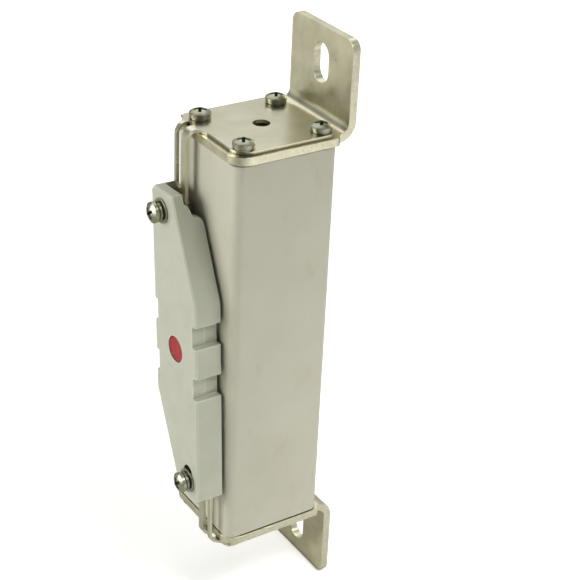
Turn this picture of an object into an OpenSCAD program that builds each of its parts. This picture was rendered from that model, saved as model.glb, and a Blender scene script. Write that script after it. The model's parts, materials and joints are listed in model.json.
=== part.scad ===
// High-speed fuse with a square ceramic body, bent slotted lugs and a release indicator.
// Millimetres. +Z runs along the body, towards the top lug. +X points at the busbars.
// The origin is the middle of the busbar bolt pattern, on the plane that the lugs bolt down on.

/* [Ceramic body] */
// Width of the square body
body_w = 53; // [48:0.5:60]
// Length of the ceramic
body_l = 199.2; // [185:0.1:260]
// Radius of the body's long corners
body_r = 4.5; // [3:0.5:9]
// Diameter of the round bore
bore_d = 42; // [34:0.5:42]
// Thickness of the end gaskets
gasket_t = 0.4; // [0.3:0.1:1]

/* [Terminals] */
// Thickness of the terminal plate and its lug
terminal_t = 4; // [3:0.5:6]
// How far the terminal stands past the ceramic on each side
terminal_over = 0.7; // [0.2:0.1:1]
// Radius of the terminal's corners away from the lug
terminal_r = 8.5; // [4:0.5:10]
// How far the lug's edge lies inside the ceramic's side
lug_in = 2; // [0.5:0.5:6]
// From the side of the ceramic to the lug's bolting face
lug_reach = 10; // [9:0.5:15]
// Height of the lug's tip over the terminal's inner face
lug_h = 46.5; // [42:0.5:60]
// Corner radius of the lug's tip
lug_r = 5; // [2:0.5:7]
// Inside radius of the bend
bend_r = 5; // [3:0.5:5]
// Width of the bolt slot
slot_w = 12; // [9:0.5:14]
// Length of the bolt slot, end to end
slot_l = 19; // [15:0.5:22]
// Height of the slot's middle over the terminal's inner face
slot_h = 29; // [28:0.5:31]

/* [End screws] */
// Distance of the end screws from the sides of the body
screw_in = 6.4; // [6:0.1:7]
// The same for the two screws beside the tongue, from the body's side next to it
screw_in_far = 8.9; // [8.5:0.1:9.2]
// How far the end screws are set off towards the lug
screw_off = 0.6; // [0:0.1:0.7]
// Thread diameter of all screws
screw_d = 5; // [4:0.5:5]
// Head diameter of all screws
head_d = 10; // [9:0.5:10]
// Head height of all screws
head_h = 3.2; // [3:0.1:4]
// Length of an end screw under its head
end_screw_l = 16; // [14:1:20]
// Thickness of a split lock washer
lock_t = 1.3; // [0.8:0.1:1.6]
// Outside diameter of a split lock washer
lock_d = 9.2; // [8.2:0.1:9.4]

/* [Cover plates and tongues] */
// Thickness of the cover plate and its tongue
cover_t = 1.6; // [1:0.1:2.5]
// How far the cover plate stops short of the ceramic's side
cover_in = 1; // [0.5:0.1:2]
// Distance of the cover plate's right edge from the terminal's bend
cover_back = 2.2; // [2:0.1:2.5]
// Radius of the cover plate's near left corner
cover_r = 9; // [4:0.5:10]
// Radius of the cover plate's right corners
cover_right_r = 3; // [2:0.5:3]
// Distance from the ceramic to the tongue's inner face
tongue_gap = 4; // [3.6:0.1:6]
// Width of the tongue
tongue_w = 10.4; // [9:0.2:12]
// Distance of the tongue from the cover's nearer side
tongue_in = 7; // [6.5:0.1:8]
// Inside radius of the tongue's bend
tongue_bend_r = 3.4; // [2:0.1:3.5]
// Width of the slot along the tongue
tongue_slot_w = 4.6; // [2:0.2:5]
// How far that slot lies off the tongue's middle, away from the body's axis
tongue_slot_off = 1; // [0:0.1:1.2]
// From the indicator screw up to the end of that slot
tongue_web = 9; // [5:0.1:14]
// From the indicator screw to the tongue's end
tongue_end = 7.5; // [6:0.5:9]
// Flat stretch between the tongue's bend and the cover's edge
tongue_flat = 2.3; // [1:0.1:2.5]
// Diameter of the filling hole in the cover
cover_hole_d = 8; // [6:0.5:9]
// How far the filling hole is set off towards the lug
fill_off = 2; // [0:0.1:2.5]

/* [Inside the body] */
// Diameter of the filler plug
plug_d = 9.6; // [8:0.1:10]
// How far the plug lies below the terminal's face
plug_sunk = 1.2; // [0.5:0.1:2]
// Gap between the contact disc and the bore
disc_gap = 3; // [2.5:0.1:4]
// Thickness of the contact disc
disc_t = 8; // [7:0.5:12]
// Diameter of the filling hole in the contact disc
fill_d = 7; // [5:0.5:8]
// Number of fuse elements
element_n = 4; // [2:2:4]
// Distance between two fuse elements
element_pitch = 9; // [8.6:0.1:9.4]
// Width of a fuse element
element_w = 22; // [14:0.5:22]
// Thickness of a fuse element
element_t = 0.25; // [0.2:0.05:0.4]
// How deep an element sits in the disc's slot
element_seat = 6; // [4:0.5:6.5]
// Rows of notches on each element
notch_rows = 5; // [3:1:7]
// Diameter of the round notches
notch_d = 3.4; // [2:0.2:3.8]

/* [Indicator housing] */
// Height of the upper indicator screw above the middle of the body
case_hole_z = 66.3; // [64:0.1:72]
// Width of the housing
case_w = 38.4; // [37:0.2:40]
// Width of its narrow ends
case_end_w = 18.9; // [18:0.1:19.4]
// From the screw to the end of the housing
case_end = 9.9; // [9:0.1:12]
// Distance of the screw from the housing's centre line
case_hole_u = 9.8; // [9.4:0.1:10]
// From the contact strap to the front face
case_front = 8.8; // [8.4:0.1:9.6]
// Wall thickness
case_wall = 2; // [1.6:0.1:2.2]
// Clearance between the housing's back and the ceramic
case_back_gap = 1.5; // [1:0.1:2]
// Angle between the slanted sides and the long sides
case_taper = 24; // [22:1:28]
// Length of the straight flank next to each narrow end
case_shoulder = 4; // [3:0.5:6]
// Cut-off on the outer corner of each end
case_chamfer = 2.2; // [1:0.1:4]
// Rounding at the front edges
case_edge = 0.8; // [0.4:0.1:1.2]
// Length of each side notch
notch_l = 11.4; // [8:0.2:12]
// Distance between the two notches of one side
notch_apart = 15.6; // [14:0.2:18]
// Depth of a side notch
notch_deep = 3; // [2:0.1:3.4]
// Extra depth of the notch's rear half
notch_step = 0.7; // [0.3:0.1:1]
// Width of the oval hole at the lower screw
oval_w = 8; // [6:0.5:9]
// How much longer than wide the oval hole is
oval_more = 4; // [1:0.5:5]

/* [Indicator button] */
// Diameter of the button
button_d = 12.5; // [11:0.1:13]
// How far the button's face lies below the front face at rest
button_sunk = 0.5; // [0.2:0.1:1]
// Travel of the released button
button_travel = 6; // [3:0.5:6]
// Wall of the button
button_wall = 1.2; // [0.8:0.1:1.4]
// Diameter of the button's stem
stem_d = 3; // [2:0.1:3.2]
// Wire diameter of the spring
spring_wire = 0.8; // [0.5:0.1:0.9]
// Turns of the spring
spring_turns = 5; // [4:1:6]
// Thickness of the indicator's base
base_t = 1.2; // [1:0.1:1.4]
// Thickness of the contact straps
strap_t = 0.5; // [0.3:0.1:0.8]
// Width of the contact straps
strap_w = 8; // [7:0.5:9]
// Length of the contact straps from the screw inwards
strap_l = 21; // [16:0.5:24]
// Diameter of the hold wire
hold_wire_d = 0.6; // [0.4:0.1:0.8]
// Length of an indicator screw under its head
case_screw_l = 17.5; // [17:0.5:18]
// How far a split washer of the indicator stands off on each side, as it is not pressed flat
lock_gap = 0.6; // [0.3:0.1:0.8]
// Outside diameter of the flat washers
flat_d = 12; // [11:0.5:13]
// Thickness of the flat washers
flat_t = 1; // [0.8:0.1:1.4]
// Thickness of the nuts
nut_t = 2.6; // [2:0.1:2.8]
// Width of the nuts across flats
nut_af = 8; // [7:0.5:8.5]

/* [Hidden] */

$fn = 64;
past = 1;                // how far a cutter runs past what it cuts
thread_fit = 0.1;        // radial clearance of a thread in its hole
hole_fit = 0.25;         // radial clearance of a screw in a plate
plug_fit = 0.05;
slot_fit = 0.1;          // clearance on each side of an element in its slot
sand_fit = 0.15;         // clearance between the sand and what it lies against
spring_fit = 0.3;        // clearance between the spring and the button's bore
guide_fit = 0.35;        // radial clearance of the button in the housing
boss_fit = 0.4;          // radial clearance between the base's boss and the button
wall_fit = 0.5;          // clearance between the base and the housing's walls
face_fit = 0.05;         // gap between faces that only rest on each other

half_w = body_w / 2;
half_l = body_l / 2;
seat_z = half_l + gasket_t;              // inner face of the terminal
terminal_z = seat_z + terminal_t;        // outer face of the terminal
cover_z = terminal_z + cover_t;          // outer face of the cover plate
lug_x = half_w + lug_reach;              // bolting face, from the body's axis
bend_x = lug_x - terminal_t - bend_r;    // axis of the bend
terminal_w = body_w + 2 * terminal_over;
lug_w = body_w - 2 * lug_in;
screw_x = half_w - screw_in;             // end screws, half their distance along x
screw_near = screw_in - half_w;          // their places along y
screw_far = half_w - screw_in_far;
head_z = cover_z + lock_t;               // underside of an end screw's head

cover_w = body_w - 2 * cover_in;
tongue_y = cover_w / 2 - tongue_in - tongue_w / 2;  // middle of the tongue
tongue_x = -(half_w + tongue_gap + cover_t);        // outer face of the tongue
tongue_bend_x = tongue_x + cover_t + tongue_bend_r; // axis of the tongue's bend
tongue_bend_z = cover_z - cover_t - tongue_bend_r;
cover_edge = tongue_bend_x + tongue_flat;           // left edge of the cover
tongue_slot_end = case_hole_z + tongue_web;         // lower end of the slot
tongue_foot = case_hole_z - tongue_end;
disc_d = bore_d - 2 * disc_gap;

// The housing hangs between two tongues that stand on opposite sides of the axis,
// so it leans until its own holes meet those of the tongues.
hole_reach = norm([tongue_y, case_hole_z]);
case_hole_v = sqrt(pow(hole_reach, 2) - pow(case_hole_u, 2));
case_lean = atan2(tongue_y, case_hole_z) - atan2(case_hole_u, case_hole_v);
case_half = case_hole_v + case_end;
case_end_u = case_w / 2 - case_end_w;               // inner flank of the narrow end
taper_end = case_half - case_shoulder;
taper_start = taper_end - (case_w / 2 + case_end_u) / tan(case_taper);

strap_x = tongue_x - strap_t;                       // outer face of the contact strap
front_x = strap_x - case_front;                     // front face of the housing
back_x = -(half_w + case_back_gap);                 // rear edge of the housing
case_depth = back_x - front_x;
pad_depth = 5.4;                                    // solid block behind each screw
pad_l = 20;
pad_start = case_half - pad_l;
cavity_waist = case_w / 2 - notch_deep - notch_step - case_wall;
notch_mid = (notch_apart + notch_l) / 2;
waist_end = notch_mid + notch_l / 2 + case_wall;

button_x = front_x + button_sunk;
flange_x = front_x + case_wall + button_travel + guide_fit;
flange_t = 1.1;
flange_d = button_d + 2.4;
cup_d = button_d - 2 * button_wall;
cup_t = 1.6;
base_back = back_x - face_fit;
base_front = base_back - base_t;
boss_h = 3;
spring_d = cup_d - 2 * spring_fit;
boss_d = cup_d - 2 * boss_fit;
spring_from = button_x + cup_t + face_fit;
spring_to = base_front - boss_h - face_fit;
wire_lift = 1;                                      // wire above the base, at the stem
wire_lap = 2;                                       // how far the wire lies on a strap
wire_x = base_front - wire_lift - hold_wire_d / 2;
stem_end = wire_x - hold_wire_d / 2 - face_fit;
strap_inner = case_hole_v - strap_l;                // inner end of a contact strap
base_w = 2 * (cavity_waist - wall_fit);
base_half = taper_start - wall_fit
    + (case_w / 2 - case_wall / cos(case_taper) - base_w / 2) / tan(case_taper);
lock_stack = lock_t + 2 * lock_gap;                 // a split washer of the indicator, gaps included
case_head_x = front_x - flat_t - lock_stack;        // underside of an indicator screw's head

module square_plate(w, h, r) {
    // square plate with round corners, as wide in x as in y
    for (turn = [0, 90])
        rotate(turn) translate([-w / 2, -w / 2 + r, 0]) cube([w, w - 2 * r, h]);
    for (x = [-1, 1], y = [-1, 1])
        translate([x * (w / 2 - r), y * (w / 2 - r), 0]) cylinder(r = r, h = h);
}

module at_end_screws() {
    for (side = [-1, 1], y = [screw_near, screw_far])
        translate([side * screw_x + screw_off, y, 0]) children();
}

module rod(r, from, to) {
    // cylinder along +X
    translate([from, 0, 0]) rotate([0, 90, 0]) cylinder(r = r, h = to - from);
}

module turned_over() {
    // the bottom parts are the top parts turned over about the X axis
    rotate([180, 0, 0]) children();
}

module leaned() {
    // the housing's own frame: y across it, z along it
    rotate([-case_lean, 0, 0]) children();
}

module at_case_screws() {
    leaned() for (turn = [0, 180])
        rotate([turn, 0, 0]) translate([0, case_hole_u, case_hole_v]) children();
}

// Everything is drawn round the body's axis and then set back to the bolting plane.
module placed() {
    translate([-lug_x, 0, 0]) children();
}

module ceramic_body() {
    color("#d9d5c3") placed() difference() {
        translate([0, 0, -half_l]) square_plate(body_w, body_l, body_r);
        translate([0, 0, -half_l - past]) cylinder(d = bore_d, h = body_l + 2 * past);
        for (turn = [0, 180]) rotate([turn, 0, 0]) at_end_screws()
            translate([0, 0, head_z - end_screw_l - past])
                cylinder(r = screw_d / 2 + thread_fit, h = end_screw_l + past);
    }
}

module gasket() {
    difference() {
        translate([0, 0, half_l]) square_plate(body_w - 1, gasket_t, body_r);
        translate([0, 0, half_l - past]) cylinder(d = bore_d, h = gasket_t + 2 * past);
        at_end_screws() translate([0, 0, half_l - past])
            cylinder(r = screw_d / 2 + hole_fit, h = gasket_t + 2 * past);
    }
}

module top_gasket() {
    color("#8d8a7c") placed() gasket();
}

module bottom_gasket() {
    color("#8d8a7c") placed() turned_over() gasket();
}

module terminal_flat() {
    // plate with two round corners that narrows to the lug's width where the bend begins
    shoulder = (terminal_w - lug_w) / 2;
    intersection() {
        translate([0, 0, seat_z]) square_plate(terminal_w, terminal_t, terminal_r);
        translate([-terminal_w, -terminal_w, seat_z])
            cube([terminal_w, 2 * terminal_w, terminal_t]);
    }
    translate([0, -terminal_w / 2, seat_z]) cube([bend_x - shoulder, terminal_w, terminal_t]);
    translate([0, -lug_w / 2, seat_z]) cube([bend_x, lug_w, terminal_t]);
    for (y = [-1, 1]) intersection() {
        translate([bend_x - shoulder, y * lug_w / 2, seat_z])
            cylinder(r = shoulder, h = terminal_t);
        translate([0, -terminal_w, seat_z]) cube([bend_x, 2 * terminal_w, terminal_t]);
    }
}

module terminal_bend() {
    outer = bend_r + terminal_t;
    translate([bend_x, 0, seat_z + outer]) intersection() {
        rotate([90, 0, 0]) translate([0, 0, -lug_w / 2]) difference() {
            cylinder(r = outer, h = lug_w);
            translate([0, 0, -past]) cylinder(r = bend_r, h = lug_w + 2 * past);
        }
        translate([0, -lug_w, -outer]) cube([outer, 2 * lug_w, outer]);
    }
}

module lug() {
    foot = seat_z + bend_r + terminal_t;
    tip = seat_z + lug_h;
    translate([lug_x - terminal_t, 0, 0]) {
        translate([0, -lug_w / 2, foot]) cube([terminal_t, lug_w, tip - lug_r - foot]);
        translate([0, -lug_w / 2 + lug_r, foot])
            cube([terminal_t, lug_w - 2 * lug_r, tip - foot]);
        for (y = [-1, 1])
            translate([0, y * (lug_w / 2 - lug_r), tip - lug_r]) rod(lug_r, 0, terminal_t);
    }
}

module terminal() {
    straight = slot_l / 2 - slot_w / 2;
    difference() {
        union() {
            terminal_flat();
            terminal_bend();
            lug();
        }
        translate([lug_x - terminal_t, 0, seat_z + slot_h]) {
            for (z = [-1, 1])
                translate([0, 0, z * straight]) rod(slot_w / 2, -past, terminal_t + past);
            translate([-past, -slot_w / 2, -straight])
                cube([terminal_t + 2 * past, slot_w, 2 * straight]);
        }
        translate([fill_off, 0, seat_z - past])
            cylinder(r = plug_d / 2 + plug_fit, h = terminal_t + 2 * past);
        at_end_screws() translate([0, 0, seat_z - past])
            cylinder(r = screw_d / 2 + hole_fit, h = terminal_t + 2 * past);
    }
}

module top_terminal() {
    color("#c9c3a6") placed() terminal();
}

module bottom_terminal() {
    color("#c9c3a6") placed() turned_over() terminal();
}

module cover_flat() {
    // plate from its left edge to just before the terminal's bend
    long = bend_x - cover_back - cover_edge;
    half = cover_w / 2;
    small = 2;               // radius of the far left corner, beside the tongue
    middle = long - max(cover_r, small) - cover_right_r;
    translate([cover_edge, 0, terminal_z]) {
        translate([max(cover_r, small), -half, 0]) cube([middle, cover_w, cover_t]);
        translate([long - 2 * cover_right_r, -half + cover_right_r, 0])
            cube([2 * cover_right_r, cover_w - 2 * cover_right_r, cover_t]);
        translate([0, -half + cover_r, 0])
            cube([cover_r + past, cover_w - cover_r - small, cover_t]);
        translate([small, 0, 0]) cube([cover_r, half, cover_t]);
        translate([cover_r, -half + cover_r, 0]) cylinder(r = cover_r, h = cover_t);
        translate([small, half - small, 0]) cylinder(r = small, h = cover_t);
        for (y = [-1, 1]) translate([long - cover_right_r, y * (half - cover_right_r), 0])
            cylinder(r = cover_right_r, h = cover_t);
    }
}

module tongue_bend() {
    // quarter bend that flares into the cover's edge with a fillet on each side
    outer = tongue_bend_r + cover_t;
    flare = cover_edge - tongue_x;
    wide = tongue_w + 2 * flare;
    difference() {
        translate([0, tongue_y, 0]) {
            translate([tongue_bend_x, 0, tongue_bend_z]) intersection() {
                rotate([90, 0, 0]) translate([0, 0, -wide / 2]) difference() {
                    cylinder(r = outer, h = wide);
                    translate([0, 0, -past])
                        cylinder(r = tongue_bend_r, h = wide + 2 * past);
                }
                translate([-outer, -wide, 0]) cube([outer, 2 * wide, outer]);
            }
            translate([tongue_bend_x, -wide / 2, terminal_z])
                cube([cover_edge - tongue_bend_x, wide, cover_t]);
        }
        for (y = [-1, 1]) translate([tongue_x, tongue_y + y * wide / 2, tongue_bend_z - past])
            cylinder(r = flare, h = outer + 2 * past);
    }
}

module tongue_leg() {
    corner = 1.5;
    translate([tongue_x, tongue_y, tongue_foot]) {
        translate([0, -tongue_w / 2, corner])
            cube([cover_t, tongue_w, tongue_bend_z - tongue_foot - corner]);
        translate([0, -tongue_w / 2 + corner, 0])
            cube([cover_t, tongue_w - 2 * corner, 2 * corner]);
        for (y = [-1, 1]) translate([0, y * (tongue_w / 2 - corner), corner])
            rod(corner, 0, cover_t);
    }
}

module cover() {
    slot_low = tongue_slot_end + tongue_slot_w / 2;
    slot_left = 1;           // from the slot's upper end to the cover's edge
    difference() {
        union() {
            cover_flat();
            tongue_bend();
            tongue_leg();
        }
        translate([tongue_x, tongue_y + tongue_slot_off, slot_low]) {
            translate([-past, -tongue_slot_w / 2, 0])
                cube([cover_edge - slot_left - tongue_x + past, tongue_slot_w,
                    cover_z - slot_low + past]);
            rod(tongue_slot_w / 2, -past, cover_t + past);
        }
        translate([tongue_x, tongue_y, case_hole_z])
            rod(screw_d / 2 + hole_fit, -past, cover_t + past);
        translate([fill_off, 0, terminal_z - past])
            cylinder(d = cover_hole_d, h = cover_t + 2 * past);
        at_end_screws() translate([0, 0, terminal_z - past])
            cylinder(r = screw_d / 2 + hole_fit, h = cover_t + 2 * past);
    }
}

module top_cover() {
    color("#d3ceb2") placed() cover();
}

module bottom_cover() {
    color("#d3ceb2") placed() turned_over() cover();
}

module pan_screw(l) {
    // axis along Z, head up, underside of the head at z = 0
    crown = 1.6;             // height of the domed top
    dome_r = (pow(head_d / 2, 2) + pow(crown, 2)) / (2 * crown);
    recess_d = 5.8;
    recess_w = 1.4;
    recess_deep = 2.2;
    translate([0, 0, -l]) cylinder(d = screw_d, h = l + head_h - recess_deep);
    difference() {
        intersection() {
            cylinder(d = head_d, h = head_h);
            translate([0, 0, head_h - dome_r]) sphere(r = dome_r, $fn = 96);
        }
        for (turn = [0, 90]) rotate(turn)
            translate([-recess_d / 2, -recess_w / 2, head_h - recess_deep])
                cube([recess_d, recess_w, recess_deep + past]);
    }
}

module lock_washer() {
    // split ring, axis along Z, lower face at z = 0
    difference() {
        cylinder(d = lock_d, h = lock_t);
        translate([0, 0, -past])
            cylinder(r = screw_d / 2 + hole_fit, h = lock_t + 2 * past);
        rotate([25, 0, 0]) translate([0, -0.4, -lock_t])
            cube([lock_d, 0.8, 4 * lock_t]);
    }
}

module end_screws() {
    at_end_screws() translate([0, 0, head_z]) rotate(56) pan_screw(end_screw_l);
}

module end_lock_washers() {
    at_end_screws() translate([0, 0, cover_z]) lock_washer();
}

module top_screws() {
    color("#b9bdb8") placed() end_screws();
}

module bottom_screws() {
    color("#b9bdb8") placed() turned_over() end_screws();
}

module top_lock_washers() {
    color("#a39d84") placed() end_lock_washers();
}

module bottom_lock_washers() {
    color("#a39d84") placed() turned_over() end_lock_washers();
}

module filler_plug() {
    translate([fill_off, 0, seat_z]) cylinder(d = plug_d, h = terminal_t - plug_sunk);
}

module top_filler_plug() {
    color("#b8b49c") placed() filler_plug();
}

module bottom_filler_plug() {
    color("#b8b49c") placed() turned_over() filler_plug();
}

module at_elements() {
    for (i = [0 : element_n - 1])
        translate([0, (i - (element_n - 1) / 2) * element_pitch, 0]) children();
}

module contact_disc() {
    open = element_t + 2 * slot_fit;
    difference() {
        translate([0, 0, seat_z - disc_t]) cylinder(d = disc_d, h = disc_t);
        translate([fill_off, 0, seat_z - disc_t - past])
            cylinder(d = fill_d, h = disc_t + 2 * past);
        at_elements() translate([-disc_d, -open / 2, seat_z - disc_t - past])
            cube([2 * disc_d, open, element_seat + slot_fit + past]);
    }
}

module top_contact_disc() {
    color("#b87c4b") placed() contact_disc();
}

module bottom_contact_disc() {
    color("#b87c4b") placed() turned_over() contact_disc();
}

module element() {
    // ribbon with rows of round notches that leave narrow necks between them
    end_z = seat_z - disc_t + element_seat;
    free = 2 * (seat_z - disc_t);
    row = free / (notch_rows + 1);
    across = floor(element_w / (notch_d * 1.45));
    step = element_w / across;
    difference() {
        translate([-element_w / 2, -element_t / 2, -end_z])
            cube([element_w, element_t, 2 * end_z]);
        for (i = [1 : notch_rows], k = [0 : across])
            translate([(k - across / 2) * step, element_t, -free / 2 + i * row])
                rotate([90, 0, 0]) cylinder(d = notch_d, h = 2 * element_t, $fn = 24);
    }
}

module fuse_elements() {
    color("#e3e3e0") placed() at_elements() element();
}

module quartz_filler() {
    // sand packed round the elements between the two discs
    top = seat_z - disc_t - sand_fit;
    open = element_t + 2 * slot_fit;
    color("#cfc7b0") placed() difference() {
        translate([0, 0, -top]) cylinder(r = bore_d / 2 - sand_fit, h = 2 * top);
        at_elements() translate([-element_w / 2 - slot_fit, -open / 2, -top - past])
            cube([element_w + 2 * slot_fit, open, 2 * top + 2 * past]);
    }
}

module case_outline() {
    // long hexagon, the same when turned half round; every end has one cut corner
    corner = case_w / 2;
    end_points = [
        [corner, case_half - case_chamfer],
        [corner - case_chamfer, case_half],
        [case_end_u, case_half],
        [case_end_u, taper_end],
        [-corner, taper_start]
    ];
    polygon([for (side = [1, -1], p = end_points) [side * p[0], side * p[1]]]);
}

module case_slab(from, to, inset) {
    // slice of the housing between two depths, drawn inwards by inset
    translate([to, 0, 0]) rotate([0, -90, 0]) rotate(-90) mirror([1, 0, 0])
        linear_extrude(to - from) offset(delta = -inset) case_outline();
}

module case_shell() {
    hull() {
        case_slab(front_x, front_x + 0.1, case_edge);
        case_slab(front_x + case_edge, back_x, 0);
    }
}

module case_cavity() {
    floor_x = front_x + case_wall;
    difference() {
        case_slab(floor_x, back_x + past, case_wall);
        for (y = [-1, 1])
            translate([floor_x - past, y > 0 ? cavity_waist : -case_w, -waist_end])
                cube([case_depth + 2 * past, case_w - cavity_waist, 2 * waist_end]);
        for (turn = [0, 180]) rotate([turn, 0, 0])
            translate([floor_x - past, -case_w, pad_start])
                cube([front_x + pad_depth - floor_x + past, 2 * case_w, case_half]);
    }
}

module tongue_entry() {
    // the inner flank and the end wall are cut away where the tongue comes in
    deep = tongue_x - front_x;
    low = taper_end - 10.3;
    bend = [
        [pad_depth, case_half + past],
        [pad_depth, taper_end],
        [deep - 2.3, low + 8.9],
        [deep - 1.4, low + 6.9],
        [deep - 1, low + 4.8],
        [deep - 0.3, low + 3.9],
        [deep + 1.2, low + 3.8],
        [deep + 2.9, low + 3.2],
        [case_depth - 0.3, low + 1.8],
        [case_depth, low],
        [case_depth + past, low],
        [case_depth + past, case_half + past]
    ];
    translate([front_x, case_w / 2 - case_wall, 0]) rotate([90, 0, 0])
        linear_extrude(case_w) polygon(bend);
}

module side_notch() {
    // across one side, its rear half a little deeper
    translate([front_x - past, case_w / 2 - notch_deep, -notch_l / 2])
        cube([case_depth + 2 * past, notch_deep + past, notch_l]);
    translate([front_x + case_depth / 2, case_w / 2 - notch_deep - notch_step, -notch_l / 2])
        cube([case_depth / 2 + past, notch_deep + past, notch_l]);
}

module oval_hole() {
    // long hole beside the lower screw, which takes up the tolerance of the body's length
    translate([0, -case_hole_u, -case_hole_v]) {
        for (z = [0, oval_more])
            translate([0, 0, z]) rod(oval_w / 2, front_x - past, front_x + pad_depth);
        translate([front_x - past, -oval_w / 2, 0]) cube([pad_depth + past, oval_w, oval_more]);
    }
}

module indicator_housing() {
    color("#a9b09b") placed() leaned() difference() {
        union() {
            difference() {
                case_shell();
                case_cavity();
                for (turn = [0, 180]) rotate([turn, 0, 0]) tongue_entry();
            }
            for (turn = [0, 180]) rotate([turn, 0, 0])
                translate([0, case_hole_u, case_hole_v])
                    rod(screw_d, front_x + case_wall, strap_x);
        }
        rod(button_d / 2 + guide_fit, front_x - past, front_x + case_wall + past);
        for (turn = [0, 180]) rotate([turn, 0, 0]) {
            for (z = [-1, 1]) translate([0, 0, z * notch_mid]) side_notch();
            translate([0, case_hole_u, case_hole_v])
                rod(screw_d / 2 + hole_fit, front_x - past, strap_x + past);
        }
        oval_hole();
    }
}

module indicator_base() {
    // back plate with a hollow boss for the spring; the hold wire crosses it in a groove
    wire_turn = atan2(case_hole_u, strap_inner);
    color("#6d5a41") placed() leaned() difference() {
        union() {
            translate([base_front, -base_w / 2, -base_half])
                cube([base_t, base_w, 2 * base_half]);
            rod(boss_d / 2, base_front - boss_h, base_front);
        }
        rod(stem_d / 2 + guide_fit, base_front - boss_h - past, base_front);
        rotate([-wire_turn, 0, 0]) translate([base_front - boss_h - past, -hold_wire_d, -boss_d])
            cube([boss_h + past, 2 * hold_wire_d, 2 * boss_d]);
    }
}

module indicator_button() {
    color("#a5161c") placed() {
        difference() {
            union() {
                rod(button_d / 2, button_x, flange_x + flange_t);
                rod(flange_d / 2, flange_x, flange_x + flange_t);
            }
            rod(cup_d / 2, button_x + cup_t, flange_x + flange_t + past);
        }
        rod(stem_d / 2, button_x + cup_t, stem_end);
    }
}

module indicator_spring() {
    // round wire wound on a helix about X
    sides = 8;
    steps = 14;
    turns = spring_turns;
    mean = spring_d / 2 - spring_wire / 2;
    first = spring_from + spring_wire / 2;
    last = spring_to - spring_wire / 2;
    rings = turns * steps;
    ring_points = [for (i = [0 : rings], k = [0 : sides - 1])
        let (a = 360 * i / steps, b = 360 * k / sides,
             r = mean + spring_wire / 2 * cos(b),
             x = first + (last - first) * i / rings + spring_wire / 2 * sin(b))
        [x, r * cos(a), r * sin(a)]];
    walls = [for (i = [0 : rings - 1], k = [0 : sides - 1])
        let (n = (k + 1) % sides)
        [i * sides + k, i * sides + n, (i + 1) * sides + n, (i + 1) * sides + k]];
    start_cap = [[for (k = [sides - 1 : -1 : 0]) k]];
    end_cap = [[for (k = [0 : sides - 1]) rings * sides + k]];
    color("#8f9296") placed()
        polyhedron(points = ring_points, faces = concat(walls, start_cap, end_cap));
}

module indicator_wire() {
    // from strap to strap in a flat V, its point on the end of the stem
    end_x = tongue_x + hold_wire_d / 2 + face_fit;
    run = norm([case_hole_u, strap_inner + wire_lap]);
    slope = atan2(wire_x - end_x, run);
    wire_turn = atan2(case_hole_u, strap_inner);
    color("#c9c9c4") placed() leaned() rotate([-wire_turn, 0, 0]) {
        for (turn = [0, 180]) rotate([turn, 0, 0]) translate([wire_x, 0, 0])
            rotate([0, -slope, 0]) cylinder(d = hold_wire_d, h = run, $fn = 16);
        translate([wire_x, 0, 0]) sphere(d = hold_wire_d, $fn = 16);
    }
}

module contact_strap() {
    // flat strip from the screw towards the hold wire
    leaned() difference() {
        union() {
            translate([strap_x, case_hole_u - strap_w / 2, strap_inner])
                cube([strap_t, strap_w, case_hole_v - strap_inner]);
            translate([0, case_hole_u, case_hole_v]) rod(strap_w / 2, strap_x, tongue_x);
        }
        translate([0, case_hole_u, case_hole_v])
            rod(screw_d / 2 + hole_fit, strap_x - past, tongue_x + past);
    }
}

module upper_contact_strap() {
    color("#c08a52") placed() contact_strap();
}

module lower_contact_strap() {
    color("#c08a52") placed() turned_over() contact_strap();
}

module indicator_screws() {
    color("#b9bdb8") placed() at_case_screws()
        translate([case_head_x, 0, 0]) rotate([0, -90, 0]) rotate(35) pan_screw(case_screw_l);
}

module indicator_lock_washers() {
    // the ring stands clear of the head and of the flat washer on a narrow collar
    bore = screw_d / 2 + hole_fit;
    collar = 0.9;            // wall of the collar
    color("#9da29f") placed() at_case_screws() translate([front_x - flat_t, 0, 0])
        rotate([0, -90, 0]) difference() {
            union() {
                translate([0, 0, lock_gap]) lock_washer();
                cylinder(r = bore + collar, h = lock_stack);
            }
            translate([0, 0, -past]) cylinder(r = bore, h = lock_stack + 2 * past);
        }
}

module indicator_flat_washers() {
    color("#a7aca8") placed() at_case_screws() difference() {
        rod(flat_d / 2, front_x - flat_t, front_x);
        rod(screw_d / 2 + hole_fit, front_x - flat_t - past, front_x + past);
    }
}

module indicator_nuts() {
    behind = tongue_x + cover_t;
    color("#a7aca8") placed() at_case_screws() difference() {
        translate([behind, 0, 0]) rotate([0, 90, 0])
            cylinder(d = nut_af / cos(30), h = nut_t, $fn = 6);
        rod(screw_d / 2 + thread_fit, behind - past, behind + nut_t + past);
    }
}

ceramic_body();
top_gasket();
bottom_gasket();
top_terminal();
bottom_terminal();
top_cover();
bottom_cover();
top_screws();
bottom_screws();
top_lock_washers();
bottom_lock_washers();
top_filler_plug();
bottom_filler_plug();
top_contact_disc();
bottom_contact_disc();
fuse_elements();
quartz_filler();
indicator_housing();
indicator_base();
indicator_button();
indicator_spring();
indicator_wire();
upper_contact_strap();
lower_contact_strap();
indicator_screws();
indicator_lock_washers();
indicator_flat_washers();
indicator_nuts();
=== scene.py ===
import json
import math

import bmesh
import bpy
from mathutils import Matrix, Vector

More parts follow.
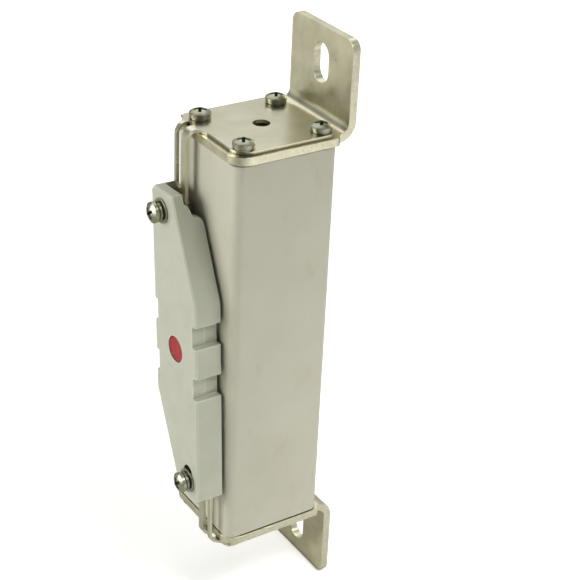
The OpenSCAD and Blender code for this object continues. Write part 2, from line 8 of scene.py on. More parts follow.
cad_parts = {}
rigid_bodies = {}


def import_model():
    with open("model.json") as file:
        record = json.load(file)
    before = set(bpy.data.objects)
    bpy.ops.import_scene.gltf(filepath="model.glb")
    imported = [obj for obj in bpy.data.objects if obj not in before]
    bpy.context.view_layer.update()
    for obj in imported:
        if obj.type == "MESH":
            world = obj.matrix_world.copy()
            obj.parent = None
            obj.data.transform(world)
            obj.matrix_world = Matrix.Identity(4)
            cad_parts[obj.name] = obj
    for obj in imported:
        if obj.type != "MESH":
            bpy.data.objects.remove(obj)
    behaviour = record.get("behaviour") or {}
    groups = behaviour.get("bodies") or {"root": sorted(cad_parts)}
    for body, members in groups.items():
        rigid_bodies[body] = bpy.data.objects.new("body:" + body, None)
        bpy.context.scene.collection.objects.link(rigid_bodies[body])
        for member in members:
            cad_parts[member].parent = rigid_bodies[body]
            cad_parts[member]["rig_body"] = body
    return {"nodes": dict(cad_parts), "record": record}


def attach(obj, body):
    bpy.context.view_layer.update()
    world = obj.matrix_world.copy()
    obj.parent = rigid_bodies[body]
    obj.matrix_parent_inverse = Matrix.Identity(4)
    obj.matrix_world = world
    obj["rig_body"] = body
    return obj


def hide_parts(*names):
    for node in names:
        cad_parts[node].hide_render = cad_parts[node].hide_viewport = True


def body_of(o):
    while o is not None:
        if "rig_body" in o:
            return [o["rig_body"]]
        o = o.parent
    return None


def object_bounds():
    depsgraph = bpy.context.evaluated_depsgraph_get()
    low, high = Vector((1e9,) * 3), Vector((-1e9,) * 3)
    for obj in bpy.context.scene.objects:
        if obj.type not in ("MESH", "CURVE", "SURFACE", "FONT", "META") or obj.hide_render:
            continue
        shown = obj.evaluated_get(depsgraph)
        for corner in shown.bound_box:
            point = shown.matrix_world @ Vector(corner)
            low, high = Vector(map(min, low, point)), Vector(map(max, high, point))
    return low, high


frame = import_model()
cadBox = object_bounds()
nodes = frame["nodes"]
mm = 0.001
print("frame loaded,", len(nodes), "pieces")


# Helpers

noiseLow, noiseHigh = 0.3, 0.7  # a noise texture seldom leaves this range


def hexColour(text):  # sRGB hex to a linear colour
    parts = [int(text[i:i + 2], 16) / 255 for i in (1, 3, 5)]
    linear = [c / 12.92 if c <= 0.04045 else ((c + 0.055) / 1.055) ** 2.4 for c in parts]
    return (*linear, 1.0)


def addNode(tree, kind, settings=None, links=None, props=None, stops=()):
    made = tree.nodes.new(kind)
    for key, value in (props or {}).items():
        setattr(made, key, value)
    for key, value in (settings or {}).items():
        made.inputs[key].default_value = value
    for key, source in (links or {}).items():
        tree.links.new(source, made.inputs[key])
    for index, (position, colour) in enumerate(stops):  # of a colour ramp
        step = made.color_ramp.elements[index]
        step.position, step.color = position, hexColour(colour)
    return made


def startMaterial(name, metallic=0.0, ior=1.5):
    material = bpy.data.materials.new(name)
    material.use_nodes = True
    tree = material.node_tree
    shader = tree.nodes["Principled BSDF"]
    shader.inputs["Metallic"].default_value = metallic
    if not metallic:
        shader.inputs["IOR"].default_value = ior
    place = addNode(tree, "ShaderNodeTexCoord").outputs["Object"]
    return material, tree, shader, place


def withPaintedShade(tree, colour, look):  # painted shade: the colour is darkened where occlusion finds seams, corners and recesses
    openness = addNode(tree, "ShaderNodeAmbientOcclusion", {"Distance": look["shadeReachMm"] * mm},
                       props={"samples": 8})
    shade = addNode(tree, "ShaderNodeMapRange", {"From Min": look["shadeFullAt"], "From Max": look["shadeNoneAt"],
                                                 "To Min": 1.0, "To Max": 0.0},
                    {"Value": openness.outputs["AO"]})
    mixed = addNode(tree, "ShaderNodeMix", {7: hexColour(look["shadeTone"])},
                    {0: shade.outputs["Result"], 6: colour},
                    {"data_type": "RGBA"})  # 6, 7 and output 2 carry the colours
    return mixed.outputs[2]


# Metals

def tinPlatedCopper():
    # Copper bar, sheared, bent and barrel-plated with tin. A warm grey satin with a faint
    # cloudiness, fine grain and a few long handling scratches. The sheared edges are paler,
    # rougher and torn in short streaks across the thickness. Grain and scratches are drawn
    # coarser than the real ones, so that they show.
    look = {"light": "#e2dec2", "dark": "#cfcbad", "cloudMm": 8.0, "rough": 0.27, "roughSpread": 0.07,
            "grainMm": 0.5, "grainShare": 0.5, "bump": 0.3, "bumpMm": 0.03,
            "scratchMm": 1.2, "scratchStretch": (1.0, 1.0, 0.06), "scratchTurn": (0.3, 0.5, 0.2),
            # painted shade in seams and on the inside of the bends
            "shadeTone": "#5a543c", "shadeReachMm": 5.5, "shadeFullAt": 0.25, "shadeNoneAt": 0.8,
            "torn": "#e3e0cb", "tornDark": "#cbc7af", "tornLow": 0.3, "tornHigh": 0.6, "tornMm": 1.4,
            "tornRough": 0.38, "tornBumpMm": 0.035,
            "shearedFrom": 0.75, "shearedTo": 0.9}  # how squarely a face looks sideways
    material, tree, shader, place = startMaterial("tinPlatedCopper", metallic=1.0)
    cloud = addNode(tree, "ShaderNodeTexNoise", {"Scale": 1 / (look["cloudMm"] * mm), "Detail": 6.0,
                                                 "Roughness": 0.6}, {"Vector": place})
    grain = addNode(tree, "ShaderNodeTexNoise", {"Scale": 1 / (look["grainMm"] * mm), "Detail": 2.0},
                    {"Vector": place})
    stretched = addNode(tree, "ShaderNodeMapping", {"Scale": look["scratchStretch"],
                                                    "Rotation": look["scratchTurn"]}, {"Vector": place})
    scratch = addNode(tree, "ShaderNodeTexNoise", {"Scale": 1 / (look["scratchMm"] * mm), "Detail": 3.0,
                                                   "Roughness": 0.7},
                      {"Vector": stretched.outputs["Vector"]})
    marks = addNode(tree, "ShaderNodeMath", {1: look["grainShare"]},
                    {0: grain.outputs["Fac"], 2: scratch.outputs["Fac"]}, {"operation": "MULTIPLY_ADD"})
    rough = addNode(tree, "ShaderNodeMapRange", {"From Min": noiseLow, "From Max": noiseHigh,
                                                 "To Min": look["rough"],
                                                 "To Max": look["rough"] + look["roughSpread"]},
                    {"Value": cloud.outputs["Fac"]})
    bump = addNode(tree, "ShaderNodeBump", {"Strength": look["bump"], "Distance": look["bumpMm"] * mm},
                   {"Height": marks.outputs["Value"]})
    plating = addNode(tree, "ShaderNodeValToRGB", links={"Fac": cloud.outputs["Fac"]},
                      stops=((noiseLow, look["dark"]), (noiseHigh, look["light"])))

    turned = addNode(tree, "ShaderNodeNewGeometry").outputs["True Normal"]
    facing = addNode(tree, "ShaderNodeSeparateXYZ", links={"Vector": turned})
    sideways = addNode(tree, "ShaderNodeMath", links={0: facing.outputs["Y"]},
                       props={"operation": "ABSOLUTE"})
    sheared = addNode(tree, "ShaderNodeMapRange", {"From Min": look["shearedFrom"],
                                                   "From Max": look["shearedTo"]},
                      {"Value": sideways.outputs["Value"]}).outputs["Result"]
    streaks = addNode(tree, "ShaderNodeTexNoise", {"Scale": 1 / (look["tornMm"] * mm), "Detail": 5.0,
                                                   "Roughness": 0.75}, {"Vector": place})
    tornTone = addNode(tree, "ShaderNodeValToRGB", links={"Fac": streaks.outputs["Fac"]},
                       stops=((look["tornLow"], look["tornDark"]), (look["tornHigh"], look["torn"])))
    tone = addNode(tree, "ShaderNodeMix", links={0: sheared, 6: plating.outputs["Color"],
                                                 7: tornTone.outputs["Color"]},
                   props={"data_type": "RGBA"})
    tornRough = addNode(tree, "ShaderNodeMix", {3: look["tornRough"]},
                        {0: sheared, 2: rough.outputs["Result"]})
    tornBump = addNode(tree, "ShaderNodeBump", {"Distance": look["tornBumpMm"] * mm},
                       {"Strength": sheared, "Height": streaks.outputs["Fac"],
                        "Normal": bump.outputs["Normal"]})
    tree.links.new(withPaintedShade(tree, tone.outputs[2], look), shader.inputs["Base Color"])
    tree.links.new(tornRough.outputs[0], shader.inputs["Roughness"])
    tree.links.new(tornBump.outputs["Normal"], shader.inputs["Normal"])
    return material


def tinPlatedSheet():
    # Rolled sheet, blanked and plated. Fine rolling lines run along the body's width, and the
    # flats are a shade smoother than those of the thick terminals. The lines are drawn several
    # times as wide as the real ones, so that they show.
    look = {"light": "#dad7c0", "dark": "#ccc8ad", "cloudMm": 14.0, "rough": 0.27, "roughSpread": 0.03,
            "lineMm": 0.35, "lineStretch": (0.03, 1.0, 0.2), "bump": 0.25, "bumpMm": 0.003,
            # painted shade in seams and corners
            "shadeTone": "#5a543c", "shadeReachMm": 1.5, "shadeFullAt": 0.25, "shadeNoneAt": 0.8}
    material, tree, shader, place = startMaterial("tinPlatedSheet", metallic=1.0)
    cloud = addNode(tree, "ShaderNodeTexNoise", {"Scale": 1 / (look["cloudMm"] * mm), "Detail": 5.0},
                    {"Vector": place})
    stretched = addNode(tree, "ShaderNodeMapping", {"Scale": look["lineStretch"]}, {"Vector": place})
    rolled = addNode(tree, "ShaderNodeTexNoise", {"Scale": 1 / (look["lineMm"] * mm), "Detail": 4.0,
                                                  "Roughness": 0.7},
                     {"Vector": stretched.outputs["Vector"]})
    rough = addNode(tree, "ShaderNodeMapRange", {"From Min": noiseLow, "From Max": noiseHigh,
                                                 "To Min": look["rough"],
                                                 "To Max": look["rough"] + look["roughSpread"]},
                    {"Value": rolled.outputs["Fac"]})
    bump = addNode(tree, "ShaderNodeBump", {"Strength": look["bump"], "Distance": look["bumpMm"] * mm},
                   {"Height": rolled.outputs["Fac"]})
    plating = addNode(tree, "ShaderNodeValToRGB", links={"Fac": cloud.outputs["Fac"]},
                      stops=((noiseLow, look["dark"]), (noiseHigh, look["light"])))
    tree.links.new(withPaintedShade(tree, plating.outputs["Color"], look), shader.inputs["Base Color"])
    tree.links.new(rough.outputs["Result"], shader.inputs["Roughness"])
    tree.links.new(bump.outputs["Normal"], shader.inputs["Normal"])
    return material


def zincPlatedSteel():
    # Steel screw, cold-headed, zinc-plated and passivated: grey with a green tinge, thin yellow
    # patches where the passivation is thicker, and painted shade in the recess. The grain is
    # coarser than the real one.
    look = {"blue": "#a6ab9c", "yellow": "#a29e7e", "patchMm": 2.0, "patchLow": 0.35, "patchHigh": 0.6,
            "rough": 0.26, "roughSpread": 0.08, "grainMm": 0.2, "bump": 0.2, "bumpMm": 0.012,
            # painted shade in the recess and under the head
            "shadeTone": "#4e4b3d", "shadeReachMm": 1.1, "shadeFullAt": 0.25, "shadeNoneAt": 0.8}
    material, tree, shader, place = startMaterial("zincPlatedSteel", metallic=1.0)
    patch = addNode(tree, "ShaderNodeTexNoise", {"Scale": 1 / (look["patchMm"] * mm), "Detail": 4.0},
                    {"Vector": place})
    grain = addNode(tree, "ShaderNodeTexNoise", {"Scale": 1 / (look["grainMm"] * mm), "Detail": 2.0},
                    {"Vector": place})
    rough = addNode(tree, "ShaderNodeMapRange", {"From Min": noiseLow, "From Max": noiseHigh,
                                                 "To Min": look["rough"],
                                                 "To Max": look["rough"] + look["roughSpread"]},
                    {"Value": patch.outputs["Fac"]})
    bump = addNode(tree, "ShaderNodeBump", {"Strength": look["bump"], "Distance": look["bumpMm"] * mm},
                   {"Height": grain.outputs["Fac"]})
    plating = addNode(tree, "ShaderNodeValToRGB", links={"Fac": patch.outputs["Fac"]},
                      stops=((look["patchLow"], look["yellow"]), (look["patchHigh"], look["blue"])))
    tree.links.new(withPaintedShade(tree, plating.outputs["Color"], look), shader.inputs["Base Color"])
    tree.links.new(rough.outputs["Result"], shader.inputs["Roughness"])
    tree.links.new(bump.outputs["Normal"], shader.inputs["Normal"])
    return material


def onePattern(material, tree, shader, pattern, look):  # tone and relief both follow one pattern
    bump = addNode(tree, "ShaderNodeBump", {"Strength": look["bump"], "Distance": look["bumpMm"] * mm},
                   {"Height": pattern})
    tone = addNode(tree, "ShaderNodeValToRGB", links={"Fac": pattern},
                   stops=((noiseLow, look["dark"]), (noiseHigh, look["light"])))
    shader.inputs["Roughness"].default_value = look["rough"]
    tree.links.new(tone.outputs["Color"], shader.inputs["Base Color"])
    tree.links.new(bump.outputs["Normal"], shader.inputs["Normal"])
    return material


def zincSpringSteel():
    # Spring steel, coiled, hardened and zinc-plated: darker than the screws, a little smoky.
    look = {"light": "#a8a797", "dark": "#7d7b6c", "patchMm": 1.5, "rough": 0.32, "bump": 0.3,
            "bumpMm": 0.02}
    material, tree, shader, place = startMaterial("zincSpringSteel", metallic=1.0)
    patch = addNode(tree, "ShaderNodeTexNoise", {"Scale": 1 / (look["patchMm"] * mm), "Detail": 5.0},
                    {"Vector": place})
    return onePattern(material, tree, shader, patch.outputs["Fac"], look)


def drawnCopper():
    # Copper strip and turned copper, left bare: orange with brown tarnish in clouds.
    look = {"light": "#c98a5c", "dark": "#8f5a39", "cloudMm": 5.0, "rough": 0.38, "bump": 0.2,
            "bumpMm": 0.02}
    material, tree, shader, place = startMaterial("drawnCopper", metallic=1.0)
    cloud = addNode(tree, "ShaderNodeTexNoise", {"Scale": 1 / (look["cloudMm"] * mm), "Detail": 6.0},
                    {"Vector": place})
    return onePattern(material, tree, shader, cloud.outputs["Fac"], look)


def rolledSilver():
    # Fine silver ribbon, rolled and punched: white metal with faint lengthwise lines.
    look = {"light": "#ececea", "dark": "#d2d2ce", "lineMm": 0.4, "lineStretch": (1.0, 1.0, 0.04),
            "rough": 0.25, "bump": 0.2, "bumpMm": 0.01}
    material, tree, shader, place = startMaterial("rolledSilver", metallic=1.0)
    stretched = addNode(tree, "ShaderNodeMapping", {"Scale": look["lineStretch"]}, {"Vector": place})
    rolled = addNode(tree, "ShaderNodeTexNoise", {"Scale": 1 / (look["lineMm"] * mm), "Detail": 3.0},
                     {"Vector": stretched.outputs["Vector"]})
    return onePattern(material, tree, shader, rolled.outputs["Fac"], look)


# Mineral and plastic

def firedSteatite():
    # Steatite, extruded, fired and ground, without glaze. Fine even matt, cream-grey, with soft
    # clouding from the firing, fine pores and a few faint stains from handling. The pores are
    # drawn coarser than the real ones, so that they show.
    look = {"light": "#c0beab", "dark": "#b9b7a3", "cloudMm": 30.0, "ior": 1.6,
            "poreMm": 0.7, "rough": 0.5, "roughSpread": 0.08, "bump": 0.25, "bumpMm": 0.04,
            "stain": "#aaa283", "stainMm": 11.0, "stainStretch": (1.0, 1.0, 0.4),
            "stainShift": (0.031, 0.012, 0.044), "stainFrom": 0.58, "stainTo": 0.78, "stainMost": 0.5}
    material, tree, shader, place = startMaterial("firedSteatite", ior=look["ior"])
    cloud = addNode(tree, "ShaderNodeTexNoise", {"Scale": 1 / (look["cloudMm"] * mm), "Detail": 4.0},
                    {"Vector": place})
    pores = addNode(tree, "ShaderNodeTexNoise", {"Scale": 1 / (look["poreMm"] * mm), "Detail": 3.0,
                                                 "Roughness": 0.6}, {"Vector": place})
    rough = addNode(tree, "ShaderNodeMapRange", {"From Min": noiseLow, "From Max": noiseHigh,
                                                 "To Min": look["rough"],
                                                 "To Max": look["rough"] + look["roughSpread"]},
                    {"Value": pores.outputs["Fac"]})
    bump = addNode(tree, "ShaderNodeBump", {"Strength": look["bump"], "Distance": look["bumpMm"] * mm},
                   {"Height": pores.outputs["Fac"]})
    upright = addNode(tree, "ShaderNodeMapping", {"Location": look["stainShift"],
                                                  "Scale": look["stainStretch"]}, {"Vector": place})
    spots = addNode(tree, "ShaderNodeTexNoise", {"Scale": 1 / (look["stainMm"] * mm), "Detail": 6.0,
                                                 "Roughness": 0.65}, {"Vector": upright.outputs["Vector"]})
    stained = addNode(tree, "ShaderNodeMapRange", {"From Min": look["stainFrom"],
                                                   "From Max": look["stainTo"],
                                                   "To Max": look["stainMost"]},
                      {"Value": spots.outputs["Fac"]})
    body = addNode(tree, "ShaderNodeValToRGB", links={"Fac": cloud.outputs["Fac"]},
                   stops=((noiseLow, look["dark"]), (noiseHigh, look["light"])))
    tone = addNode(tree, "ShaderNodeMix", {7: hexColour(look["stain"])},
                   {0: stained.outputs["Result"], 6: body.outputs["Color"]}, {"data_type": "RGBA"})
    tree.links.new(tone.outputs[2], shader.inputs["Base Color"])
    tree.links.new(rough.outputs["Result"], shader.inputs["Roughness"])
    tree.links.new(bump.outputs["Normal"], shader.inputs["Normal"])
    return material


def pressedFibre():
    # Mineral fibre gasket, pressed sheet: grey-brown, felted.
    look = {"light": "#99937f", "dark": "#7f7968", "fibreMm": 0.4, "rough": 0.85, "bump": 0.5,
            "bumpMm": 0.05}
    material, tree, shader, place = startMaterial("pressedFibre")
    fibre = addNode(tree, "ShaderNodeTexNoise", {"Scale": 1 / (look["fibreMm"] * mm), "Detail": 5.0},
                    {"Vector": place})
    return onePattern(material, tree, shader, fibre.outputs["Fac"], look)


def mouldedThermoset():
    # Glass-filled polyester, compression moulded: sage-grey and fully matt, with a fine
    # spark-eroded grain from the mould, a little flow clouding, painted highlights along the edges
    # and painted shade in seams and corners. The grain is drawn coarser than the real one, so that it
    # shows.
    look = {"light": "#bcbeab", "dark": "#b5b7a4", "cloudMm": 12.0, "flow": 0.6, "ior": 1.52,
            "grainMm": 0.35, "rough": 0.5, "roughSpread": 0.1, "bump": 0.3, "bumpMm": 0.03,
            # painted shade in seams, notches and hollows
            "shadeTone": "#5d5a4a", "shadeReachMm": 5.0, "shadeFullAt": 0.25, "shadeNoneAt": 0.4,
            # painted highlight: edges are lightened where the rounded normal turns away from the true one
            "rimHighlight": "#e2e4d6", "rimHighlightMm": 0.8,
            "flatCosine": 0.995, "rimHighlightCosine": 0.93}  # between the true and the rounded normal
    material, tree, shader, place = startMaterial("mouldedThermoset", ior=look["ior"])
    cloud = addNode(tree, "ShaderNodeTexNoise", {"Scale": 1 / (look["cloudMm"] * mm), "Detail": 5.0,
                                                 "Distortion": look["flow"]}, {"Vector": place})
    grain = addNode(tree, "ShaderNodeTexNoise", {"Scale": 1 / (look["grainMm"] * mm), "Detail": 2.0},
                    {"Vector": place})
    rough = addNode(tree, "ShaderNodeMapRange", {"From Min": noiseLow, "From Max": noiseHigh,
                                                 "To Min": look["rough"],
                                                 "To Max": look["rough"] + look["roughSpread"]},
                    {"Value": grain.outputs["Fac"]})
    bump = addNode(tree, "ShaderNodeBump", {"Strength": look["bump"], "Distance": look["bumpMm"] * mm},
                   {"Height": grain.outputs["Fac"]})
    plastic = addNode(tree, "ShaderNodeValToRGB", links={"Fac": cloud.outputs["Fac"]},
                      stops=((noiseLow, look["dark"]), (noiseHigh, look["light"])))
    rounded = addNode(tree, "ShaderNodeBevel", {"Radius": look["rimHighlightMm"] * mm}, props={"samples": 6})
    flat = addNode(tree, "ShaderNodeNewGeometry").outputs["Normal"]
    turned = addNode(tree, "ShaderNodeVectorMath", links={0: rounded.outputs["Normal"], 1: flat},
                     props={"operation": "DOT_PRODUCT"})
    edge = addNode(tree, "ShaderNodeMapRange", {"From Min": look["flatCosine"],
                                                "From Max": look["rimHighlightCosine"]},
                   {"Value": turned.outputs["Value"]})
    # painted highlight mixed in along the edges
    rimLit = addNode(tree, "ShaderNodeMix", {7: hexColour(look["rimHighlight"])},
                   {0: edge.outputs["Result"], 6: plastic.outputs["Color"]}, {"data_type": "RGBA"})
    tree.links.new(withPaintedShade(tree, rimLit.outputs[2], look), shader.inputs["Base Color"])
    tree.links.new(rough.outputs["Result"], shader.inputs["Roughness"])
    tree.links.new(bump.outputs["Normal"], shader.inputs["Normal"])
    return material


def redMouldedPlastic():
    # Polyamide, injection moulded, dyed red: satin, slightly chalky on the face, with a grain
    # drawn coarser than the real one.
    look = {"light": "#ab2b29", "dark": "#951d20", "cloudMm": 3.0, "rough": 0.48, "grainMm": 0.3,
            "bump": 0.25, "bumpMm": 0.02}
    material, tree, shader, place = startMaterial("redMouldedPlastic")
    cloud = addNode(tree, "ShaderNodeTexNoise", {"Scale": 1 / (look["cloudMm"] * mm), "Detail": 4.0},
                    {"Vector": place})
    grain = addNode(tree, "ShaderNodeTexNoise", {"Scale": 1 / (look["grainMm"] * mm), "Detail": 2.0},
                    {"Vector": place})
    bump = addNode(tree, "ShaderNodeBump", {"Strength": look["bump"], "Distance": look["bumpMm"] * mm},
                   {"Height": grain.outputs["Fac"]})
    tone = addNode(tree, "ShaderNodeValToRGB", links={"Fac": cloud.outputs["Fac"]},
                   stops=((noiseLow, look["dark"]), (noiseHigh, look["light"])))
    shader.inputs["Roughness"].default_value = look["rough"]
    tree.links.new(tone.outputs["Color"], shader.inputs["Base Color"])
    tree.links.new(bump.outputs["Normal"], shader.inputs["Normal"])
    return material


def pressedLaminate():
    # Phenolic paper laminate, pressed and sawn: brown with paper fibres.
    look = {"light": "#8a6a45", "dark": "#6b4f33", "fibreMm": 0.6, "fibreStretch": (1.0, 1.0, 0.15),
            "rough": 0.55, "bump": 0.3, "bumpMm": 0.02}
    material, tree, shader, place = startMaterial("pressedLaminate")
    stretched = addNode(tree, "ShaderNodeMapping", {"Scale": look["fibreStretch"]}, {"Vector": place})
    fibre = addNode(tree, "ShaderNodeTexNoise", {"Scale": 1 / (look["fibreMm"] * mm), "Detail": 5.0},
                    {"Vector": stretched.outputs["Vector"]})
    return onePattern(material, tree, shader, fibre.outputs["Fac"], look)


def boundQuartzSand():
    # Quartz sand set with binder: pale grains about half a millimetre across.
    look = {"light": "#dcd2bb", "dark": "#a99c82", "grainMm": 0.5, "grainLow": 0.2, "grainHigh": 0.8,
            "rough": 0.8, "bump": 0.7, "bumpMm": 0.15, "ior": 1.54}
    material, tree, shader, place = startMaterial("boundQuartzSand", ior=look["ior"])
    grains = addNode(tree, "ShaderNodeTexVoronoi", {"Scale": 1 / (look["grainMm"] * mm)}, {"Vector": place})
    bump = addNode(tree, "ShaderNodeBump", {"Strength": look["bump"], "Distance": look["bumpMm"] * mm},
                   {"Height": grains.outputs["Distance"]})
    tone = addNode(tree, "ShaderNodeValToRGB", links={"Fac": grains.outputs["Distance"]},
                   stops=((look["grainLow"], look["light"]), (look["grainHigh"], look["dark"])))
    shader.inputs["Roughness"].default_value = look["rough"]
    tree.links.new(tone.outputs["Color"], shader.inputs["Base Color"])
    tree.links.new(bump.outputs["Normal"], shader.inputs["Normal"])
    return material


finishes = {
    "ceramic": firedSteatite(), "gasket": pressedFibre(), "tinned_copper": tinPlatedCopper(),
    "plated_sheet": tinPlatedSheet(), "zinc_screw": zincPlatedSteel(), "washer_steel": zincSpringSteel(),
    "copper": drawnCopper(), "silver": rolledSilver(), "sand": boundQuartzSand(),
    "housing_plastic": mouldedThermoset(), "base_board": pressedLaminate(),
    "red_plastic": redMouldedPlastic(), "spring_steel": zincSpringSteel(),
}
slotOf = {entry["node"]: entry["material_slot"] for entry in frame["record"]["subparts"]}
for name, cadPiece in nodes.items():
    cadPiece.data.materials.clear()
    cadPiece.data.materials.append(finishes[slotOf[name]])
print("materials made:", len(finishes))


# Pieces with their edges broken, as the plating, moulding and grinding leave them

softEdges = {  # edge radius in mm
    "ceramic_body": 0.5, "top_terminal": 0.7, "bottom_terminal": 0.7, "top_cover": 0.55,
    "bottom_cover": 0.55, "top_screws": 0.25, "bottom_screws": 0.25, "indicator_screws": 0.25,
    "top_lock_washers": 0.2, "bottom_lock_washers": 0.2, "indicator_lock_washers": 0.2,
    "indicator_flat_washers": 0.2, "indicator_housing": 0.2, "indicator_button": 0.3,
    "indicator_nuts": 0.3, "top_filler_plug": 0.3, "bottom_filler_plug": 0.3,
}
edgeLook = {"steps": 3, "weldMm": 0.002, "flatDeg": 0.6,  # seams flatter than this are merged
            "sharpDeg": 32}  # edges sharper than this are rounded


def softened(name, radiusMm):  # a copy of the node with rounded edges stands for it
    mesh = nodes[name].data.copy()
    work = bmesh.new()
    work.from_mesh(mesh)
    bmesh.ops.remove_doubles(work, verts=work.verts, dist=edgeLook["weldMm"] * mm)
    bmesh.ops.dissolve_limit(work, angle_limit=math.radians(edgeLook["flatDeg"]),
                             verts=work.verts, edges=work.edges)
    work.to_mesh(mesh)
    work.free()
    for face in mesh.polygons:
        face.use_smooth = True
    piece = bpy.data.objects.new(name + "_soft", mesh)
    bpy.context.scene.collection.objects.link(piece)
    bevel = piece.modifiers.new("edges", "BEVEL")
    bevel.width = radiusMm * mm
    bevel.segments = edgeLook["steps"]
    bevel.limit_method = "ANGLE"
    bevel.angle_limit = math.radians(edgeLook["sharpDeg"])
    bevel.use_clamp_overlap = True
    bevel.harden_normals = False
    even = piece.modifiers.new("normals", "WEIGHTED_NORMAL")
    even.keep_sharp = True
    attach(piece, body_of(nodes[name])[0])
    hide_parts(name)


for name, radiusMm in softEdges.items():
    softened(name, radiusMm)
print("edges softened on", len(softEdges), "pieces")


# Stage

floorLook = {"colour": "#f2f2f0", "mirrored": "#c9c8c2", "rough": 0.95, "sizeM": 8.0, "belowMm": 0.1,
             "lift": 0.4, "farLift": 0.95, "nearM": 0.25, "farM": 0.8}
floorMesh = bpy.data.meshes.new("floor")
reach = floorLook["sizeM"] / 2
floorMesh.from_pydata([(-reach, -reach, 0), (reach, -reach, 0), (reach, reach, 0), (-reach, reach, 0)], [],
                      [(0, 1, 2, 3)])
floor = bpy.data.objects.new("floor", floorMesh)
bpy.context.scene.collection.objects.link(floor)
floor.location.z = cadBox[0].z - floorLook["belowMm"] * mm


def palePaper():
    # Studio paper: matt white. The camera sees it lifted so that it reads as white, less so
    # round the foot, where the shadow lies. The metals see it greyer than it lights the fuse.
    material, tree, shader, place = startMaterial("palePaper")
    path = addNode(tree, "ShaderNodeLightPath")
    away = addNode(tree, "ShaderNodeVectorMath", links={0: place}, props={"operation": "LENGTH"})
    raised = addNode(tree, "ShaderNodeMapRange", {"From Min": floorLook["nearM"],
                                                  "From Max": floorLook["farM"],
                                                  "To Min": floorLook["lift"],
                                                  "To Max": floorLook["farLift"]},
                     {"Value": away.outputs["Value"]})
    lift = addNode(tree, "ShaderNodeMath", links={0: path.outputs["Is Camera Ray"],
                                                  1: raised.outputs["Result"]},
                   props={"operation": "MULTIPLY"})
    seen = addNode(tree, "ShaderNodeMix", {6: hexColour(floorLook["colour"]),
                                           7: hexColour(floorLook["mirrored"])},
                   {0: path.outputs["Is Glossy Ray"]}, {"data_type": "RGBA"})
    tree.links.new(seen.outputs[2], shader.inputs["Base Color"])
    shader.inputs["Roughness"].default_value = floorLook["rough"]
    shader.inputs["Emission Color"].default_value = (1, 1, 1, 1)
    tree.links.new(lift.outputs["Value"], shader.inputs["Emission Strength"])
    return material


floorMesh.materials.append(palePaper())

tentLook = {"towards": (0.8, 0.55, 0.25), "dim": "#82827e", "bright": "#ffffff", "dimTo": 0.42,
            "brightFrom": 0.92, "strength": 0.52}


def lightTent(look):  # world: bright behind the fuse, dimmer in front; plain white to the camera
    world = bpy.data.worlds.new("lightTent")
    world.use_nodes = True
    tree = world.node_tree
    tree.nodes.clear()
    place = addNode(tree, "ShaderNodeTexCoord").outputs["Generated"]
    along = addNode(tree, "ShaderNodeVectorMath", {1: look["towards"]}, {0: place},
                    {"operation": "DOT_PRODUCT"})
    share = addNode(tree, "ShaderNodeMapRange", {"From Min": -1.0, "From Max": 1.0},
                    {"Value": along.outputs["Value"]})
    tone = addNode(tree, "ShaderNodeValToRGB", links={"Fac": share.outputs["Result"]},
                   stops=((look["dimTo"], look["dim"]), (look["brightFrom"], look["bright"])))
    tent = addNode(tree, "ShaderNodeBackground", {"Strength": look["strength"]},
                   {"Color": tone.outputs["Color"]})
    white = addNode(tree, "ShaderNodeBackground", {"Color": (1, 1, 1, 1), "Strength": 1.0})
    path = addNode(tree, "ShaderNodeLightPath")
    both = addNode(tree, "ShaderNodeMixShader", links={0: path.outputs["Is Camera Ray"],
                                                       1: tent.outputs["Background"],
                                                       2: white.outputs["Background"]})
    addNode(tree, "ShaderNodeOutputWorld", links={"Surface": both.outputs["Shader"]})
    bpy.context.scene.world = world


lightTent(tentLook)

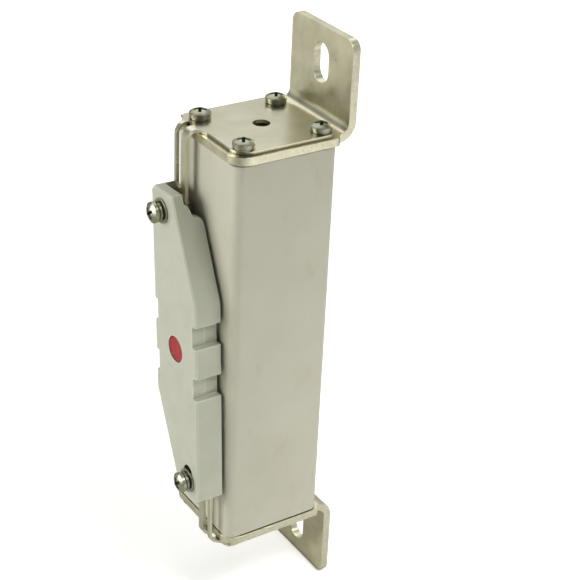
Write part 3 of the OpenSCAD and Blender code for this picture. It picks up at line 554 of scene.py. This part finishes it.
softboxes = {  # places and sizes in m
    "left": {"place": (-1.4, 0.45, 0.25), "aim": (0, 0, 0), "size": 1.0, "watts": 17.8, "spreadDeg": 180},
    "right": {"place": (0.8, -1.4, 0.2), "aim": (0, 0, 0), "size": 1.1, "watts": 1.8, "spreadDeg": 180},
    "over": {"place": (0.3, 0.9, 1.4), "aim": (0, 0, 0), "size": 1.6, "watts": 8.0, "spreadDeg": 180},
    "bounce": {"place": (0.2, -0.7, 0.8), "aim": (0.15, -0.45, -0.15),  # falls on the floor in front
               "size": 0.5, "watts": 3.1, "spreadDeg": 60},
}
for name, look in softboxes.items():
    lamp = bpy.data.lights.new(name, "AREA")
    lamp.shape = "SQUARE"
    lamp.size = look["size"]
    lamp.energy = look["watts"]
    lamp.spread = math.radians(look["spreadDeg"])
    box = bpy.data.objects.new(name, lamp)
    bpy.context.scene.collection.objects.link(box)
    box.location = look["place"]
    beam = Vector(look["aim"]) - Vector(look["place"])
    box.rotation_euler = beam.to_track_quat("-Z", "Y").to_euler()

cameraLook = {"azimuthDeg": -33.91, "elevationDeg": 29.08, "rollDeg": 2.64, "distanceM": 0.73229,
              "focalPx": 1526.29, "imagePx": 580, "sensorMm": 36.0, "nearM": 0.05, "farM": 20.0,
              "acrossM": 0.0187, "upM": 0.01801, "middle": (-0.0365, 0.0, 0.0)}


def placeCamera(look):
    azimuth, elevation, roll = (math.radians(look[key]) for key in
                                ("azimuthDeg", "elevationDeg", "rollDeg"))
    back = Vector((math.sin(azimuth) * math.cos(elevation), -math.cos(azimuth) * math.cos(elevation),
                   math.sin(elevation)))
    level = (-back).cross(Vector((0, 0, 1))).normalized()
    upright = level.cross(-back)
    right = level * math.cos(roll) + upright * math.sin(roll)
    top = upright * math.cos(roll) - level * math.sin(roll)
    data = bpy.data.cameras.new("camera")
    data.sensor_width = look["sensorMm"]
    data.lens = data.sensor_width * look["focalPx"] / look["imagePx"]
    data.clip_start, data.clip_end = look["nearM"], look["farM"]
    camera = bpy.data.objects.new("camera", data)
    bpy.context.scene.collection.objects.link(camera)
    spot = Vector(look["middle"]) + right * look["acrossM"] + top * look["upM"] + back * look["distanceM"]
    camera.matrix_world = Matrix.Translation(spot) @ Matrix((right, top, back)).transposed().to_4x4()
    bpy.context.scene.camera = camera


placeCamera(cameraLook)
bpy.context.scene.view_settings.view_transform = "Standard"
print("stage, lights and camera placed")

bpy.context.view_layer.update()
